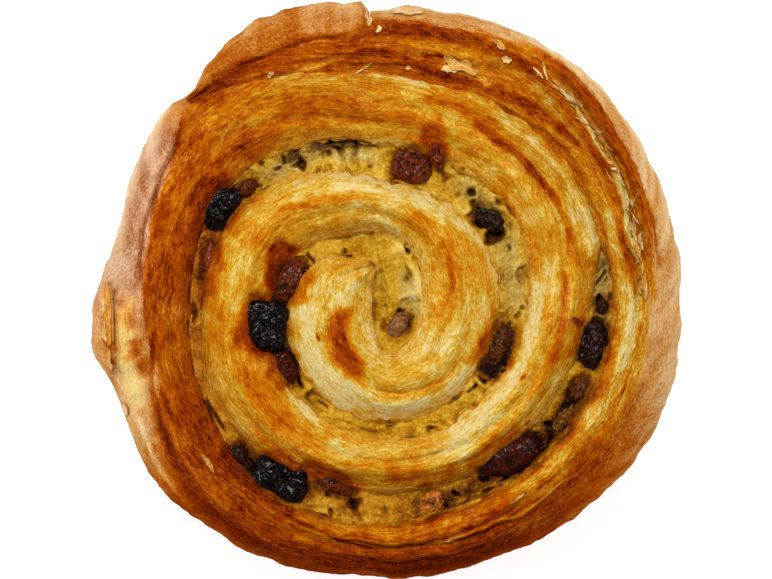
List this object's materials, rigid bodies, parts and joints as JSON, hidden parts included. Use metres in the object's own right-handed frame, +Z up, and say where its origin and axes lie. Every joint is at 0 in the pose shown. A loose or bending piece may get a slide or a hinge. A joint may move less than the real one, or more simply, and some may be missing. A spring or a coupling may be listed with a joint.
{
  "type": "pain aux raisins",
  "caption": "Baked spiral pastry: a strip of laminated dough spread with pastry cream and raisins, rolled up, sliced and baked lying on its cut face.",
  "frame": {"origin": "the middle of the pastry's footprint, on the surface that it stands on", "axes": "+Z up, out of the cut face that shows the spiral; +X and +Y lie in the surface it stands on, +X to the right and +Y away in the pictured view"},
  "size_m": [0.1109, 0.108, 0.0341],
  "materials": {
    "dough": "baked laminated dough: golden yellow in the middle turns, orange brown to dark brown on the outer turn, faintly glazed",
    "cream": "baked pastry cream: dull grainy yellow with small dark pits",
    "raisin": "wrinkled raisins, black to reddish brown, slightly shiny"
  },
  "bodies": {
    "root": {"dough": "dough", "pastry_cream": "cream", "raisin_01": "raisin", "raisin_02": "raisin", "raisin_03": "raisin", "raisin_04": "raisin", "raisin_05": "raisin", "raisin_06": "raisin", "raisin_07": "raisin", "raisin_08": "raisin", "raisin_09": "raisin", "raisin_10": "raisin", "raisin_11": "raisin", "raisin_12": "raisin", "raisin_13": "raisin", "raisin_14": "raisin", "raisin_15": "raisin", "raisin_16": "raisin", "raisin_17": "raisin", "raisin_18": "raisin", "raisin_19": "raisin", "raisin_20": "raisin"}
  },
  "joints": []
}
